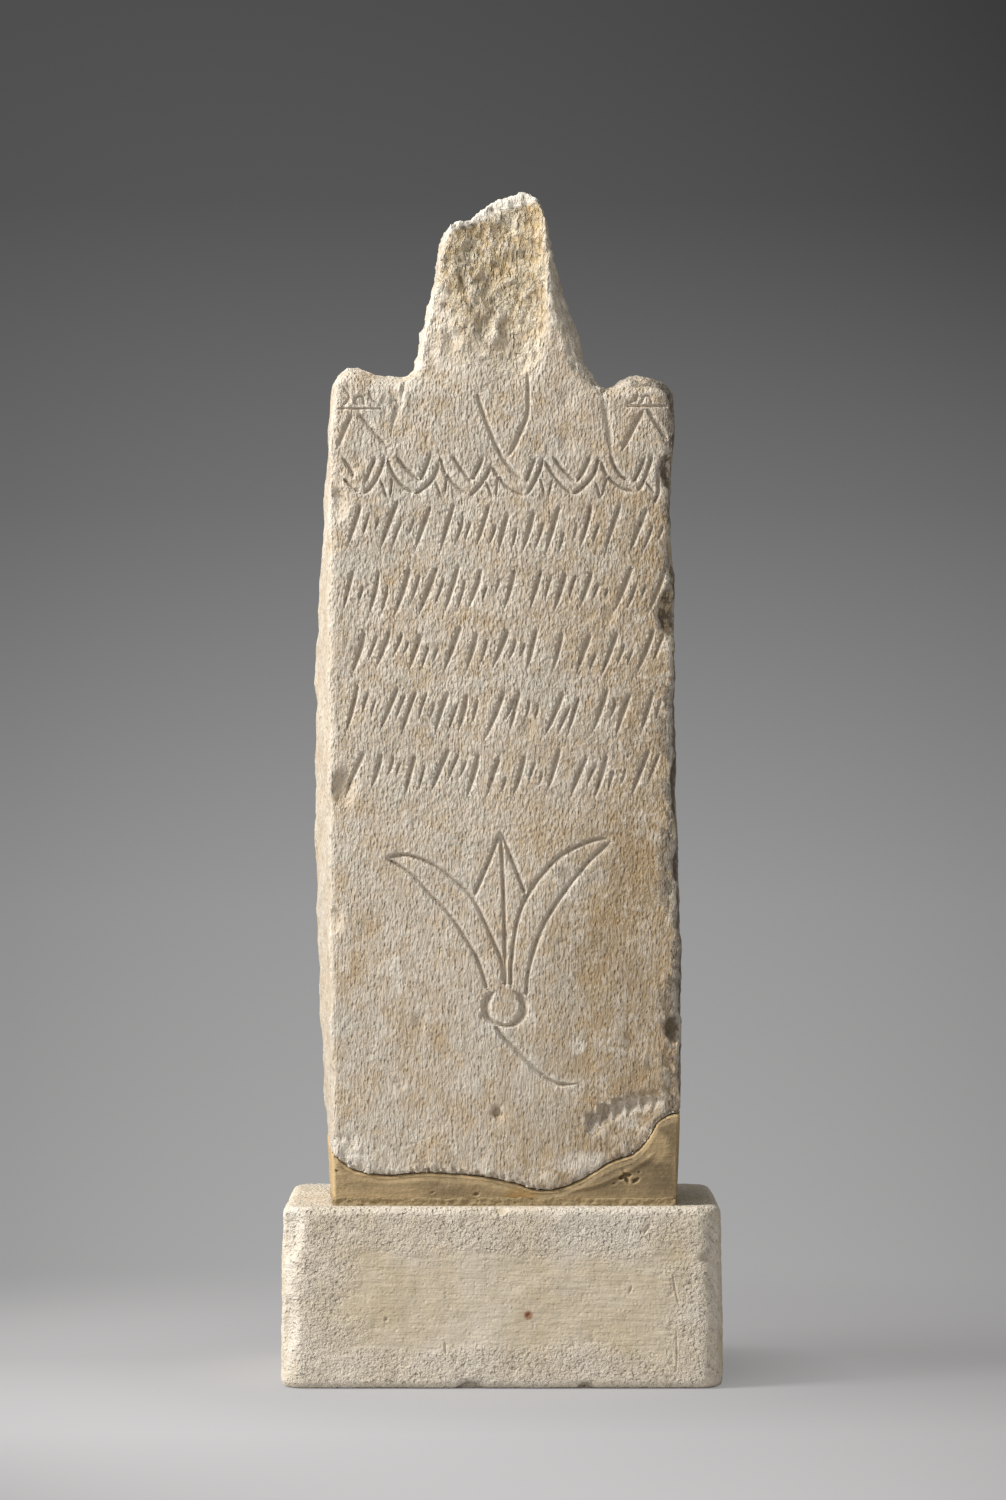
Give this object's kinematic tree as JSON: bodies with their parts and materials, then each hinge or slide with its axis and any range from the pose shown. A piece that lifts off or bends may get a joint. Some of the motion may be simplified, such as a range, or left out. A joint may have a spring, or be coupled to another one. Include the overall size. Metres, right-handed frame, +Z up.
{
  "type": "votive stele on a plinth",
  "caption": "Tapering limestone votive stele with a broken pinnacle between two corner acroteria, its lost foot made up in plaster, dowelled onto a stone plinth.",
  "frame": {"origin": "middle of the plinth's underside", "axes": "+Z up along the stele, +X to the right as seen from the carved face, +Y from the carved face to the back"},
  "size_m": [0.191, 0.124, 0.5173],
  "materials": {
    "limestone": "dry, weathered, with fine vertical tooling",
    "plaster": "smoothed by hand, toned brown, matt",
    "mortar": "matt, crumbly edge",
    "plinth_stone": "matt, worm-tracked and pitted",
    "dowel_steel": "drawn bar",
    "resin": "cured, dull"
  },
  "bodies": {
    "root": {"stele_stone": "limestone", "plaster_foot": "plaster", "mortar_bed": "mortar", "plinth": "plinth_stone", "dowel_left": "dowel_steel", "dowel_right": "dowel_steel", "plinth_resin_left": "resin", "plinth_resin_right": "resin", "stone_resin_left": "resin", "stone_resin_right": "resin"}
  },
  "joints": []
}
